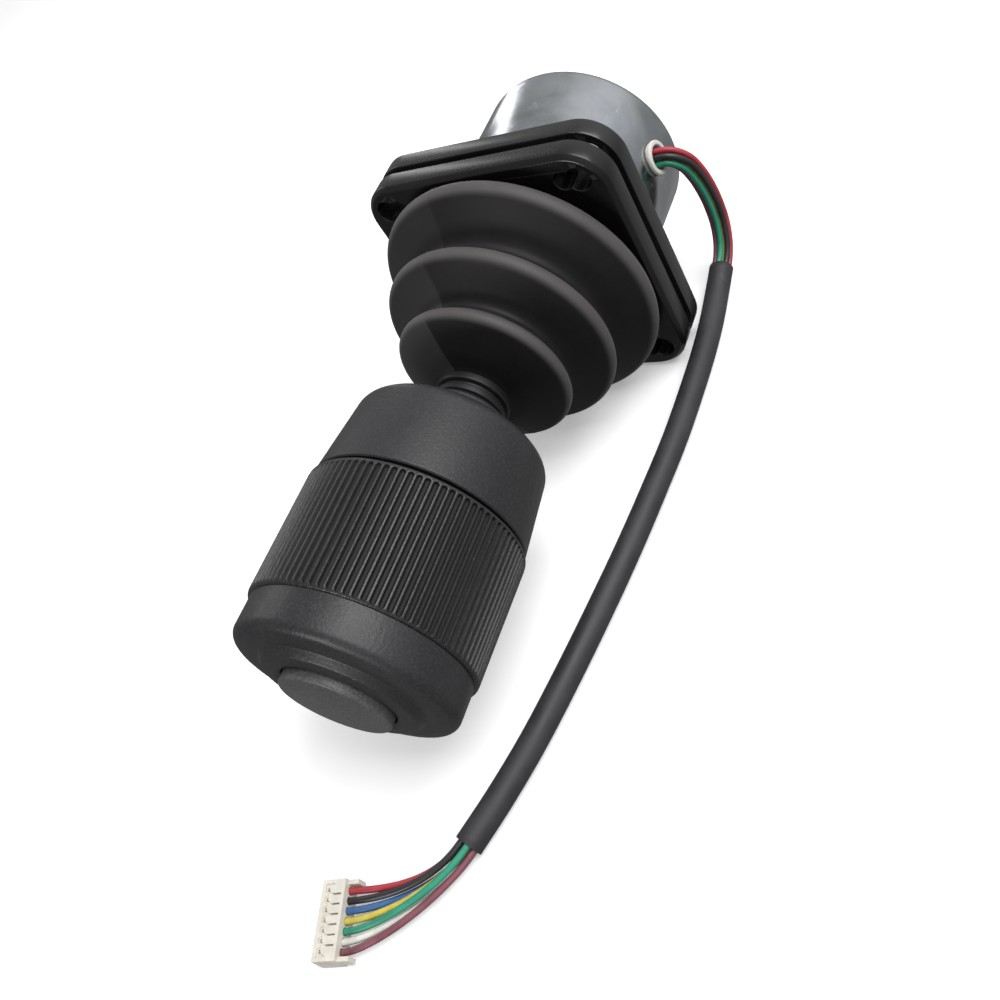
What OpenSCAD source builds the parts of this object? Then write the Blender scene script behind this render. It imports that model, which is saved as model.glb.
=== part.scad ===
// Three-axis hand joystick with a push button, for a control panel.
// The part lies on one flange edge, as it is set down on a bench: the lever
// points along -Y, the flange edges run along X and Z, and the bench is the
// plane Z = -flange_w / 2. The origin is the centre of the flange's back face,
// the face that seats on the panel. Each module works in a mechanism frame
// whose h axis runs along the lever: h = 0 is the panel seat, positive
// towards the knob. lay() turns that frame into the part's own frame.

/* [Flange] */
// Edge length of the square flange
flange_w = 50; // [48:0.5:56]
// Corner radius of both flange plates
flange_r = 7.5; // [6:0.5:8]
// Thickness of the rear mounting plate
plate_t = 3.65; // [3.2:0.05:4]
// Thickness of the dark gasket between the plates
gasket_t = 1.65; // [1.2:0.05:2]
// Thickness of the front bezel
bezel_t = 4.3; // [3.8:0.1:5]
// Chamfer on the bezel's front edge
bezel_chamfer = 0.8; // [0.4:0.1:1]
// Distance between the mounting holes, both ways
hole_pitch = 40; // [39:0.5:41]
// Diameter of the mounting holes
hole_d = 4.5; // [4.2:0.1:4.6]

/* [Rear can] */
// Outer diameter of the steel can
can_d = 40; // [39.8:0.1:40.4]
// Depth of the can behind the flange
can_len = 25.4; // [25.2:0.1:28]
// Sheet thickness of the can
can_wall = 1.2; // [1:0.05:1.2]
// Diameter of the cable hole in the can's side
cable_hole_d = 6; // [5.8:0.1:6.4]

/* [Boot] */
// Radius of the largest fold
fold_r1 = 26.2; // [25.4:0.1:26.4]
// Radius of the middle fold
fold_r2 = 21.5; // [20.5:0.1:22]
// Radius of the smallest fold
fold_r3 = 16.1; // [15:0.1:16.5]
// Thickness of the rubber
boot_wall = 1.2; // [0.8:0.1:1.2]

/* [Lever and knob] */
// Diameter of the lever shaft
shaft_d = 8; // [8:0.1:8]
// Radius of the knob's fixed base at its lower rim
base_r = 18.4; // [18:0.1:18.5]
// Radius over the ribs of the turning grip
grip_r = 18.9; // [18.7:0.1:19]
// Number of ribs around the grip
rib_count = 90; // [60:6:120]
// Depth of the groove between two ribs
rib_depth = 0.6; // [0.3:0.05:0.6]
// Radius of the end cap
cap_r = 18.3; // [18:0.1:18.4]
// Radius of the push button
button_r = 9.1; // [8.8:0.1:9.1]
// Travel of the push button
button_travel = 1.5; // [1:0.1:1.5]

/* [Cable] */
// Outer diameter of the sleeve over the wires
sleeve_d = 4.6; // [4.4:0.1:4.7]
// Outer diameter of one wire
wire_d = 1.1; // [1:0.05:1.1]
// Distance between wire centres in the bundle
wire_gap = 1.35; // [1.3:0.05:1.35]
// Contact pitch of the plug
plug_pitch = 1.5; // [1.5:0.1:1.5]

/* [Hidden] */
$fn = 96;
e = 0.01;

hw = flange_w / 2;              // half the flange
floor_z = -hw;                  // the bench, in the part's own frame
g0 = plate_t;                   // gasket back
g1 = plate_t + gasket_t;        // gasket front
f1 = g1 + bezel_t;              // bezel front
hp = -5.4;                      // height of both tilt axes
can_r = can_d / 2;
rim_t = 0.6;                    // how far the can's rim sits in the plate
seat_t = 0.4;                   // how far the gimbal frame sits in the plate
sh_r = shaft_d / 2;
cable_a = 9;                    // angle of the cable hole round the can
cable_h = -15.9;                // its height
screw_xy = [[14, 22], [22, -14], [-14, -22], [-22, 14]];

module lay() { rotate([90, 0, 0]) children(); }

// ---------- small helpers ----------
function unit(v) = v / norm(v);
module ring(r1, r0, h0, h1) {
    translate([0, 0, h0]) difference() {
        cylinder(r = r1, h = h1 - h0);
        translate([0, 0, -1]) cylinder(r = r0, h = h1 - h0 + 2);
    }
}
module disc(r, h0, h1) { translate([0, 0, h0]) cylinder(r = r, h = h1 - h0); }
module rsquare(w, r) {
    union() {
        square([w, w - 2 * r], center = true);
        square([w - 2 * r, w], center = true);
        for (i = [-1, 1], j = [-1, 1])
            translate([i * (w / 2 - r), j * (w / 2 - r)]) circle(r = r);
    }
}
module corners(p) { for (i = [-1, 1], j = [-1, 1]) translate([i * p / 2, j * p / 2, 0]) children(); }
module radial(a, h) { translate([0, 0, h]) rotate([0, 0, a]) rotate([0, 90, 0]) children(); }

// Closed tube swept along points, with a carried-along frame.
// d0 and d1 are the directions of its two end faces.
function dirs(p, d0, d1) = [for (i = [0:len(p) - 1])
    i == 0 ? unit(d0) : i == len(p) - 1 ? unit(d1) : unit(p[i + 1] - p[i - 1])];
function carried(d, n0, i) = i == 0 ? unit(n0 - (n0 * d[0]) * d[0])
    : let(q = carried(d, n0, i - 1)) unit(q - (q * d[i]) * d[i]);
function frames(p, n0, d0, d1) = let(d = dirs(p, d0, d1))
    [for (i = [0:len(p) - 1]) let(n = carried(d, n0, i)) [d[i], n, cross(d[i], n)]];
function shifted(p, n0, d0, d1, a, b) = let(f = frames(p, n0, d0, d1))
    [for (i = [0:len(p) - 1]) p[i] + a * f[i][1] + b * f[i][2]];
module tube(p, n0, d0, d1, r, sides) {
    f = frames(p, n0, d0, d1);
    n = len(p);
    pts = [for (i = [0:n - 1], k = [0:sides - 1]) let(t = 360 * (k + 0.5) / sides)
        p[i] + r * cos(t) * f[i][1] + r * sin(t) * f[i][2]];
    faces = concat(
        [[for (k = [0:sides - 1]) k]],
        [for (i = [0:n - 2], k = [0:sides - 1]) let(k2 = (k + 1) % sides)
            [i * sides + k, (i + 1) * sides + k, (i + 1) * sides + k2, i * sides + k2]],
        [[for (k = [sides - 1:-1:0]) (n - 1) * sides + k]]);
    polyhedron(points = pts, faces = faces, convexity = 6);
}
// Coil spring: radius r0 at the foot and r1 at the top.
module coil(r0, r1, wire, h0, h1, turns, steps) {
    n = turns * steps;
    p = [for (i = [0:n]) let(s = i / n, t = 360 * turns * s, r = r0 + (r1 - r0) * s)
        [r * cos(t), r * sin(t), h0 + (h1 - h0) * s]];
    tube(p, [0, 0, 1], [0, 1, 0], [0, 1, 0], wire, 6);
}

// ---------- housing ----------
module plate_holes(h0, h1) {
    corners(hole_pitch) translate([0, 0, h0]) cylinder(d = hole_d, h = h1 - h0);
}
module bezel() {
    c = bezel_chamfer;
    w = flange_w;
    r = flange_r;
    k = hw - r;
    color([0.07, 0.07, 0.08]) lay() difference() {
        union() {
            translate([0, 0, g1]) linear_extrude(f1 - c - g1) rsquare(w, r);
            translate([0, 0, f1 - c]) {
                translate([-k, 0, 0]) rotate([90, 0, 90])
                    linear_extrude(2 * k) polygon([[-hw, 0], [hw, 0], [hw - c, c], [-hw + c, c]]);
                translate([0, k, 0]) rotate([90, 0, 0])
                    linear_extrude(2 * k) polygon([[-hw, 0], [hw, 0], [hw - c, c], [-hw + c, c]]);
                for (i = [-1, 1], j = [-1, 1]) translate([i * k, j * k, 0])
                    cylinder(r1 = r, r2 = r - c, h = c);
            }
        }
        disc(22.7, g1 - 1, f1 + 1);
        disc(24.2, g1 - 1, g1 + 1.6);
        plate_holes(g1 - 1, f1 + 1);
        for (i = [-1, 1], j = [-1, 1]) translate([i * 17.3, j * 20.2, g1 - 1])
            cylinder(d = 3.5, h = bezel_t + 2);
        for (p = screw_xy) translate([p[0], p[1], g1 - 1]) cylinder(d = 1.9, h = 3.6);
    }
}
module gasket() {
    color([0.02, 0.02, 0.02]) lay() difference() {
        translate([0, 0, g0]) linear_extrude(gasket_t) rsquare(flange_w - 3, flange_r - 1.5);
        disc(21, g0 - 1, g1 + 1);
        corners(hole_pitch) translate([0, 0, g0 - 1]) cylinder(d = hole_d + 0.6, h = 4);
        for (p = screw_xy) translate([p[0], p[1], g0 - 1]) cylinder(d = 2, h = 4);
    }
}
module mounting_plate() {
    color([0.09, 0.09, 0.10]) lay() difference() {
        union() {
            linear_extrude(plate_t) rsquare(flange_w, flange_r);
            ring(can_r - can_wall - 0.05, 17, -10, 0.5);
        }
        disc(14.2, -1, plate_t + 1);
        // groove that the can's rim sits in, below the panel face
        ring(can_r + 0.5, can_r - can_wall - 0.05, -e, rim_t);
        // recess that the gimbal frame seats in
        disc(17, -e, seat_t);
        plate_holes(-1, plate_t + 1);
        for (p = screw_xy) translate([p[0], p[1], 0]) {
            translate([0, 0, -1]) cylinder(d = 2.1, h = 6);
            translate([0, 0, -e]) cylinder(d1 = 4, d2 = 2.1, h = 1);
        }
        for (a = [45:90:315]) rotate([0, 0, a]) translate([15.4, 0, 0]) {
            translate([0, 0, -1]) cylinder(d = 2.1, h = 6);
            translate([0, 0, 2.2]) cylinder(d = 3.8, h = 3);
        }
    }
}
module bezel_screws() {
    color([0.30, 0.30, 0.31]) lay() for (p = screw_xy) translate([p[0], p[1], 0]) difference() {
        union() {
            translate([0, 0, 0.03]) cylinder(d1 = 3.8, d2 = 2, h = 0.93);
            translate([0, 0, 0.9]) cylinder(d = 1.9, h = 6.6);
        }
        for (a = [0, 90]) rotate([0, 0, a]) translate([-1, -0.2, -1]) cube([2, 0.4, 1.6]);
    }
}
module steel_can() {
    r = can_r;
    b = 1.9;
    color([0.72, 0.73, 0.74]) lay() difference() {
        rotate_extrude() polygon(concat(
            [[0, -can_len]],
            [for (i = [0:6]) let(t = -90 + 15 * i)
                [r - b + b * cos(t), -can_len + b + b * sin(t)]],
            [[r, rim_t - 0.02], [r - can_wall, rim_t - 0.02]],
            [for (i = [6:-1:0]) let(t = -90 + 15 * i)
                [r - b + (b - can_wall) * cos(t), -can_len + b + (b - can_wall) * sin(t)]],
            [[0, -can_len + can_wall]]));
        radial(cable_a, cable_h) translate([0, 0, 10]) cylinder(d = cable_hole_d, h = 14);
    }
}
module gimbal_frame() {
    color([0.55, 0.56, 0.58]) lay() difference() {
        union() {
            ring(16.9, 13.6, -12.4, seat_t);
            for (a = [75, 195, 315]) rotate([0, 0, a]) translate([15.2, 0, -21.2])
                cylinder(r = 1.6, h = 9);
        }
        for (s = [0, 180]) radial(s, hp) translate([0, 0, 12]) cylinder(r = 2.5, h = 6);
        for (a = [45:90:315]) rotate([0, 0, a]) translate([15.4, 0, -6]) cylinder(r = 0.9, h = 7);
        for (a = [75, 195, 315]) rotate([0, 0, a]) translate([15.2, 0, -22]) cylinder(r = 0.8, h = 6);
    }
}
module frame_screws() {
    color([0.62, 0.63, 0.65]) lay() for (a = [45:90:315]) rotate([0, 0, a]) translate([15.4, 0, 0]) difference() {
        union() {
            translate([0, 0, 2.22]) cylinder(r = 1.75, h = 1.3);
            translate([0, 0, -5]) cylinder(r = 0.88, h = 7.4);
        }
        for (b = [0, 90]) rotate([0, 0, b]) translate([-1, -0.2, 2.9]) cube([2, 0.4, 2]);
    }
}
module pivot_bushes() {
    color([0.75, 0.58, 0.28]) lay() for (s = [0, 180]) radial(s, hp) translate([0, 0, 13.65])
        difference() {
            cylinder(r = 2.48, h = 3.2);
            translate([0, 0, -1]) cylinder(r = 1.54, h = 6);
        }
}
module main_board() {
    color([0.05, 0.28, 0.14]) lay() difference() {
        disc(17.6, -22.2, -21.2);
        for (a = [75, 195, 315]) rotate([0, 0, a]) translate([15.2, 0, -23]) cylinder(r = 0.9, h = 3);
    }
}
module hall_sensor() {
    color([0.04, 0.04, 0.05]) lay() {
        translate([-2.5, -2, -21.2]) cube([5, 4, 1]);
        for (i = [0:3], s = [-1, 1]) translate([-1.95 + 1.3 * i, s * 2.5 - 0.5, -21.2])
            cube([0.4, 1, 0.35]);
    }
}
module board_parts() {
    color([0.62, 0.58, 0.50]) lay() {
        for (p = [[-3, 8, 20], [4, 9.5, -15], [-9.5, -6, 60], [3, -9.5, 5], [-4, -11.5, 90]])
            translate([p[0], p[1], -21.2]) rotate([0, 0, p[2]])
                translate([-1, -0.6, 0]) cube([2, 1.2, 0.7]);
        translate([-4, 12, -21.2]) cube([4, 2.2, 1.1]);
    }
}
module board_screws() {
    color([0.62, 0.63, 0.65]) lay() for (a = [75, 195, 315]) rotate([0, 0, a])
        translate([15.2, 0, 0]) difference() {
            union() {
                translate([0, 0, -23.4]) cylinder(r = 1.5, h = 1.2);
                translate([0, 0, -22.3]) cylinder(r = 0.78, h = 5);
            }
            for (b = [0, 90]) rotate([0, 0, b]) translate([-0.9, -0.2, -24]) cube([1.8, 0.4, 1.1]);
        }
}
module wire_grommet() {
    color([0.86, 0.86, 0.82]) lay() radial(cable_a, cable_h) difference() {
        union() {
            translate([0, 0, 18.4]) cylinder(r = cable_hole_d / 2 - 0.04, h = 2.1);
            translate([0, 0, 20.2]) cylinder(r = 3.5, h = 0.7);
        }
        translate([0, 0, 17]) cylinder(r = 2.25, h = 6);
    }
}

// ---------- boot ----------
// Outer profile [r, h] from the clamped foot to the neck.
function fold(r, h, rr, a0, a1) = [for (i = [0:5]) let(t = a0 + (a1 - a0) * i / 5)
    [r - rr + rr * cos(t), h + rr * sin(t)]];
boot_out = concat(
    [[22.5, g1 + 1.6], [22.5, f1 - 0.3], [22.9, f1 + 0.4]],
    fold(fold_r1, f1 + 4.2, 1.9, -60, 62),
    [[19.6, f1 + 9.2], [18.7, f1 + 10.2], [18.6, f1 + 11.2]],
    fold(fold_r2, f1 + 14.6, 1.7, -62, 64),
    [[15.2, f1 + 18.2], [14.0, f1 + 19.2], [13.9, f1 + 20]],
    fold(fold_r3, f1 + 22.9, 1.5, -62, 62),
    [[9.4, f1 + 26.2], [6.2, f1 + 26.8], [5.4, f1 + 27.5], [5.4, f1 + 33]]);
function pnorm(p, i) = let(d = p[min(i + 1, len(p) - 1)] - p[max(i - 1, 0)], u = d / norm(d))
    [u[1], -u[0]];
boot_in = [for (i = [len(boot_out) - 1:-1:0]) let(n = pnorm(boot_out, i))
    [min(hw - 1.1, max(4.02, boot_out[i][0] - boot_wall * n[0])), boot_out[i][1] - boot_wall * n[1]]];
module boot() {
    color([0.05, 0.05, 0.055]) lay() difference() {
        rotate_extrude() polygon(concat(
            [[21.3, g1], [24, g1], [24, g1 + 1.58]], boot_out, boot_in));
        // the largest fold is pressed flat where it lies on the bench
        translate([-30, floor_z - 5, 0]) cube([60, 5.03, 60]);
    }
}
module centring_spring() {
    color([0.7, 0.7, 0.72]) lay() coil(16, 6, 0.6, g0 + 0.62, 26.8, 5, 20);
}

// ---------- gimbal ----------
module gimbal_ring() {
    color([0.60, 0.61, 0.63]) lay() difference() {
        ring(12.6, 9.2, hp - 3, hp + 3);
        for (a = [0:90:270]) radial(a, hp) translate([0, 0, 8]) cylinder(r = 1.5, h = 6);
    }
}
module frame_pins() {
    color([0.78, 0.79, 0.80]) lay() for (s = [0, 180]) radial(s, hp)
        translate([0, 0, 9.3]) cylinder(r = 1.5, h = 7.4);
}
module lever_pins() {
    color([0.78, 0.79, 0.80]) lay() for (s = [90, 270]) radial(s, hp)
        translate([0, 0, 4.3]) cylinder(r = 1.5, h = 8.2);
}

// ---------- lever ----------
module lever_shaft() {
    color([0.75, 0.76, 0.77]) lay() difference() {
        disc(sh_r, -16.5, 62);
        disc(2.2, -17, 63);
        translate([-6, -1.3, -13.6]) cube([6, 2.6, 2.6]);
        radial(90, hp) translate([0, 0, -6]) cylinder(r = 1.54, h = 12);
        radial(90, 50) translate([0, 0, 3.4]) cylinder(r = 1.45, h = 2);
    }
}
module lever_hub() {
    color([0.75, 0.58, 0.28]) lay() difference() {
        radial(90, hp) translate([0, 0, -6.8]) cylinder(r = 5.4, h = 13.6);
        disc(sh_r + 0.02, hp - 8, hp + 8);
        radial(90, hp) translate([0, 0, -8]) cylinder(r = 1.54, h = 16);
    }
}
module magnet_holder() {
    color([0.12, 0.12, 0.13]) lay() difference() {
        union() {
            disc(4, -19, -16.52);
            disc(2.16, -16.6, -14.6);
        }
        disc(2.52, -20, -17.2);
    }
}
module lever_magnet() { color([0.45, 0.46, 0.48]) lay() disc(2.5, -18.98, -17.22); }
module lever_harness() {
    color([0.15, 0.15, 0.16]) lay() {
        union() {
            disc(1, -12.9, 79.6);
            translate([0, 0, -12.2]) rotate([0, -90, 0]) cylinder(r = 0.8, h = 8);
            translate([-8, 0, -21.2]) cylinder(r = 0.8, h = 9);
            translate([-8, 0, -12.2]) sphere(r = 0.8);
        }
    }
}
module spring_seat() {
    color([0.12, 0.12, 0.13]) lay() difference() {
        union() { disc(7.4, 27.5, 29); disc(5.2, 25.6, 27.6); }
        disc(sh_r + 0.02, 25, 30);
    }
}
module boot_collar() {
    color([0.06, 0.06, 0.065]) lay() rotate_extrude() polygon([
        [5.42, 37.3], [6.5, 37.3], [6.8, 37.6], [6.8, 38.7], [6.5, 39.0], [6.1, 39.2],
        [6.1, 40.2], [6.5, 40.5], [6.5, 41.2], [6.2, 41.5], [6.0, 43.5], [5.42, 43.5]]);
}

// ---------- knob, fixed half ----------
module knob_base() {
    r = base_r;
    color([0.10, 0.10, 0.11]) lay() difference() {
        union() {
            rotate_extrude() polygon(concat(
                [[6.7, 42.0], [7.9, 42.0], [8.25, 42.35], [8.3, 43.7], [9.0, 44.0], [15.2, 47.6]],
                [for (i = [0:5]) let(t = 62 - 12 * i) [r - 2.9 + 2.0 * cos(t), 50.0 + 2.0 * sin(-t)]],
                [[r, 63.4], [r - 0.3, 63.8], [r - 1.7, 63.8], [r - 2.5, 51.2], [r - 4.2, 49.6],
                 [9, 46.8], [6.7, 46.4]]));
            disc(7, 43.7, 56.2);
        }
        disc(sh_r + 0.01, 40, 60);
        radial(90, 50) translate([0, 0, 3]) cylinder(r = 1.5, h = 5);
        for (a = [30, 150, 270]) rotate([0, 0, a]) translate([5.5, 0, 52]) cylinder(r = 0.6, h = 6);
    }
}
module grub_screw() {
    color([0.2, 0.2, 0.21]) lay() radial(90, 50) difference() {
        translate([0, 0, 3.5]) cylinder(r = 1.44, h = 3.4);
        translate([0, 0, 5.7]) cylinder(r = 0.75, h = 2, $fn = 6);
    }
}
module knob_core() {
    color([0.14, 0.14, 0.15]) lay() difference() {
        union() {
            disc(15.4, 56.22, 58.2);
            disc(7, 58, 79.8);
        }
        disc(sh_r + 0.01, 55, 62.02);
        disc(3.9, 62, 81);
        ring(8, 6.4, 76.2, 77.02);
        rotate([0, 0, 270]) translate([12.5, 0, 55]) cylinder(r = 1, h = 5);
        for (a = [30, 150, 270]) rotate([0, 0, a]) translate([5.5, 0, 55]) {
            cylinder(r = 0.65, h = 4);
            translate([0, 0, 1.9]) cylinder(r = 1.1, h = 24);
        }
    }
}
module core_screws() {
    color([0.62, 0.63, 0.65]) lay() for (a = [30, 150, 270]) rotate([0, 0, a]) translate([5.5, 0, 0]) {
        translate([0, 0, 52.6]) cylinder(r = 0.58, h = 4.4);
        translate([0, 0, 56.92]) cylinder(r = 1.05, h = 0.9);
    }
}
module stop_pin() {
    color([0.78, 0.79, 0.80]) lay() rotate([0, 0, 270]) translate([12.5, 0, 56.3])
        cylinder(r = 1, h = 11.5);
}
module twist_board() {
    color([0.05, 0.28, 0.14]) lay() translate([0, 0, 58.2]) rotate([0, 0, 20])
        rotate_extrude(angle = 140) polygon([[7.2, 0], [15, 0], [15, 0.8], [7.2, 0.8]]);
}
module twist_sensor() {
    color([0.04, 0.04, 0.05]) lay() rotate([0, 0, 90]) translate([10.5, -1.5, 59]) cube([3, 3, 1]);
}
module switch_board() { color([0.05, 0.28, 0.14]) lay() disc(7.6, 79.82, 80.8); }
module switch_body() {
    color([0.05, 0.05, 0.055]) lay() difference() {
        translate([-3.5, -3.5, 80.8]) cube([7, 7, 4.5]);
        disc(1.6, 82.4, 86);
    }
}
module grip_circlip() {
    color([0.35, 0.35, 0.36]) lay() difference() {
        ring(8.7, 6.42, 76.22, 77);
        translate([0, -2, 76]) cube([10, 4, 2]);
    }
}

// ---------- knob, turning half ----------
module grip_ring() {
    n = rib_count;
    color([0.10, 0.10, 0.11]) lay() difference() {
        union() {
            difference() {
                union() {
                    translate([0, 0, 65.6]) linear_extrude(20.8) polygon([
                        for (i = [0:n - 1], k = [0:3])
                            let(t = 360 * (i + [0, 0.16, 0.5, 0.66][k]) / n,
                                q = grip_r - [rib_depth, 0, 0, rib_depth][k])
                            [q * cos(t), q * sin(t)]]);
                    translate([0, 0, 64.5]) cylinder(r1 = grip_r - 0.5, r2 = grip_r - 0.2, h = 0.4);
                    disc(grip_r - 0.2, 64.9, 65.75);
                }
                disc(17, 60, 90);
            }
            disc(17.1, 65, 67.2);
            disc(9.2, 60.5, 76);
        }
        disc(7.05, 60, 90);
        // arc slot for the stop pin
        translate([0, 0, 64]) rotate([0, 0, 234])
            rotate_extrude(angle = 72) polygon([[11.2, 0], [13.8, 0], [13.8, 5], [11.2, 5]]);
    }
}
module end_cap() {
    r = cap_r;
    color([0.10, 0.10, 0.11]) lay() rotate_extrude() polygon(concat(
        [[15.6, 83.5], [16.95, 83.5], [16.95, 86.45], [r - 0.1, 86.45], [r, 86.6], [r, 91.4]],
        [for (i = [0:6]) let(t = 12.5 * i) [r - 2 + 2 * cos(t), 91.4 + 2 * sin(t)]],
        [[15.6, 93.45], [14.2, 93.5], [13.4, 93.9], [12.8, 94.5], [12.2, 94.85], [10.4, 95.0],
         [9.6, 94.9], [9.3, 94.6], [9.3, 91.4], [15.6, 91.4]]));
}
module twist_magnet() {
    color([0.45, 0.46, 0.48]) lay() rotate([0, 0, 90]) translate([12, 0, 62.6]) cylinder(r = 1.5, h = 2.4);
}
module twist_spring() {
    color([0.7, 0.7, 0.72]) lay() coil(10.2, 10.2, 0.4, 67.9, 75, 5, 20);
}

// ---------- button ----------
module push_button() {
    color([0.11, 0.11, 0.12]) lay() {
        rotate_extrude() polygon([
            [0, 87.22], [2.5, 87.22], [2.5, 94], [7.4, 94], [7.4, 90], [10.8, 90], [10.8, 91.1],
            [9.1, 91.2], [button_r, 96.0], [button_r - 0.35, 96.35], [6, 96.55], [0, 96.7]]);
    }
}
module switch_plunger() { color([0.75, 0.72, 0.62]) lay() disc(1.5, 84.0, 87.2); }
module button_spring() {
    color([0.7, 0.7, 0.72]) lay() coil(6, 6, 0.3, 81.15, 93.65, 5, 20);
}

// ---------- cable ----------
// Centre line of the wire bundle from the board to the sleeve, [x, y, h].
lead_route = [[12.6, 1.9, -21.2], [12.6, 1.9, -19.2], [13.4, 2.1, -17.3], [15.2, 2.4, -16.1],
    [17.4, 2.75, -15.9], [19.8, 3.1, -15.9], [22.3, 2.8, -16.2], [24.3, 0.6, -17.0],
    [25.3, -3.2, -17.8], [25.8, -7.4, -18.2], [26.0, -11.6, -18.2], [26.1, -15.4, -17.5],
    [26.1, -18.6, -15.8], [26.0, -20.5, -13.7], [25.9, -21.4, -11.8]];
// Centre line of the sleeve, along the bench to its cut end.
sleeve_route = [[25.9, -21.4, -11.8], [26.2, -22.3, -6], [26.8, -22.7, 1], [27.3, -22.7, 9.6],
    [27.4, -22.7, 19.6], [27.2, -22.7, 29.6], [26.5, -22.7, 39.6], [25.4, -22.7, 52],
    [23.9, -22.7, 64.5], [22.1, -22.7, 77], [20.1, -22.7, 88.5], [17.8, -22.7, 98],
    [15.4, -22.7, 106]];
plug_at = [-1.1, -23.25, 121.3];      // middle of the plug's wire side
plug_a = 18.6;                        // how far the plug is turned on the bench
row_dir = [sin(plug_a), 0, cos(plug_a)];
in_dir = [-cos(plug_a), 0, sin(plug_a)];
// Place in the bundle: [across, up] in wire gaps; lead end, then plug end.
hexa = [[1, 0], [0.5, 0.866], [-0.5, 0.866], [-1, 0], [-0.5, -0.866], [0.5, -0.866], [0, 0]];
lead_slot = [0, 5, 1, 6, 2, 4, 3];    // red outermost, brown innermost
tail_slot = [3, 2, 4, 6, 1, 5, 0];
sleeve_dir = unit(sleeve_route[1] - sleeve_route[0]);
tail_dir = unit(sleeve_route[12] - sleeve_route[11]);
function bez(a, b, c, d, t) = pow(1 - t, 3) * a + 3 * pow(1 - t, 2) * t * b
    + 3 * (1 - t) * t * t * c + pow(t, 3) * d;
function lead(i) = shifted(lead_route, [0, 1, 0], [0, 0, 1], sleeve_dir,
    wire_gap * hexa[lead_slot[i]][0], wire_gap * hexa[lead_slot[i]][1]);
function tail(i) = let(
    s = hexa[tail_slot[i]],
    p0 = sleeve_route[12] + wire_gap * s[0] * [tail_dir[2], 0, -tail_dir[0]]
        + wire_gap * s[1] * [0, 1, 0],
    p3 = plug_at + (i - 3) * plug_pitch * row_dir)
    concat([for (k = [0:8]) bez(p0, p0 + 8 * tail_dir, p3 - 5 * in_dir, p3, k / 8)],
        [p3 + 1.5 * in_dir]);
module wire(i) {
    tube(lead(i), [0, 1, 0], [0, 0, 1], sleeve_dir, wire_d / 2, 8);
    tube(tail(i), [0, 1, 0], tail_dir, in_dir, wire_d / 2, 8);
}
module cable_sleeve() {
    color([0.16, 0.16, 0.17]) lay()
        tube(sleeve_route, [1, 0, 0], sleeve_dir, tail_dir, sleeve_d / 2, 10);
}
module wire_red() { color([0.75, 0.12, 0.14]) lay() wire(0); }
module wire_black() { color([0.05, 0.05, 0.05]) lay() wire(1); }
module wire_blue() { color([0.12, 0.30, 0.62]) lay() wire(2); }
module wire_yellow() { color([0.85, 0.75, 0.15]) lay() wire(3); }
module wire_green() { color([0.05, 0.50, 0.35]) lay() wire(4); }
module wire_white() { color([0.85, 0.85, 0.83]) lay() wire(5); }
module wire_brown() { color([0.40, 0.20, 0.18]) lay() wire(6); }

// Plug frame: +x into the plug, +y along the row from red to brown, z up.
module at_plug() {
    translate([plug_at[0], -plug_at[2], 0]) rotate([0, 0, 180 + plug_a]) children();
}
plug_w = 6 * plug_pitch + 3;
plug_l = 4.2;
plug_t = 3.5;
module plug_housing() {
    z0 = floor_z;
    step = 0.3;      // the locking fingers stand this much above the lip
    color([0.90, 0.89, 0.84]) at_plug() difference() {
        union() {
            translate([0, -plug_w / 2, z0]) cube([plug_l, plug_w, plug_t - step]);
            translate([0, 0, z0 + plug_t - step - 0.1]) linear_extrude(step + 0.1) polygon(concat(
                [[2, plug_w / 2], [0, plug_w / 2], [0, -plug_w / 2], [2, -plug_w / 2]],
                [for (i = [-3:3]) each [[2, plug_pitch * (i - 0.42)],
                    [2.75, plug_pitch * (i - 0.12)], [2.75, plug_pitch * (i + 0.12)],
                    [2, plug_pitch * (i + 0.42)]]]));
            for (s = [-1, 1]) {
                translate([0, s * (plug_w / 2 - 0.3) - 0.3, z0]) cube([plug_l, 0.6, plug_t]);
                translate([-1.9, s * (plug_w / 2 - 0.35) - 0.35, z0 + 0.7]) cube([2.4, 0.7, 2]);
            }
        }
        for (i = [-3:3]) translate([0, plug_pitch * i, z0 + 1.75]) {
            rotate([0, 90, 0]) translate([0, 0, -1]) cylinder(r = 0.66, h = 2.8);
            translate([1.55, -0.5, -0.5]) cube([5, 1, 1]);
            // window over the contact's catch
            translate([2.8, -0.3, 0]) cube([0.5, 0.6, 3]);
        }
        for (i = [-3:2]) translate([0.55, plug_pitch * (i + 0.5) - 0.15, z0 + plug_t - 0.8])
            cube([1.6, 0.3, 2]);
    }
}
module plug_contacts() {
    color([0.80, 0.62, 0.30]) at_plug() for (i = [-3:3])
        translate([1.65, plug_pitch * i - 0.42, floor_z + 1.33]) difference() {
            cube([2.4, 0.84, 0.84]);
            translate([1, 0.2, 0.2]) cube([4, 0.44, 0.44]);
        }
}

bezel();
gasket();
mounting_plate();
bezel_screws();
steel_can();
gimbal_frame();
frame_screws();
pivot_bushes();
main_board();
hall_sensor();
board_parts();
board_screws();
wire_grommet();
boot();
centring_spring();
gimbal_ring();
frame_pins();
lever_pins();
lever_shaft();
lever_hub();
magnet_holder();
lever_magnet();
lever_harness();
spring_seat();
boot_collar();
knob_base();
grub_screw();
knob_core();
core_screws();
stop_pin();
twist_board();
twist_sensor();
switch_board();
switch_body();
grip_circlip();
grip_ring();
end_cap();
twist_magnet();
twist_spring();
push_button();
switch_plunger();
button_spring();
cable_sleeve();
wire_red();
wire_black();
wire_blue();
wire_yellow();
wire_green();
wire_white();
wire_brown();
plug_housing();
plug_contacts();
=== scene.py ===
import math

import bmesh
import bpy
import numpy as np
from mathutils import Matrix, Vector


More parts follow.
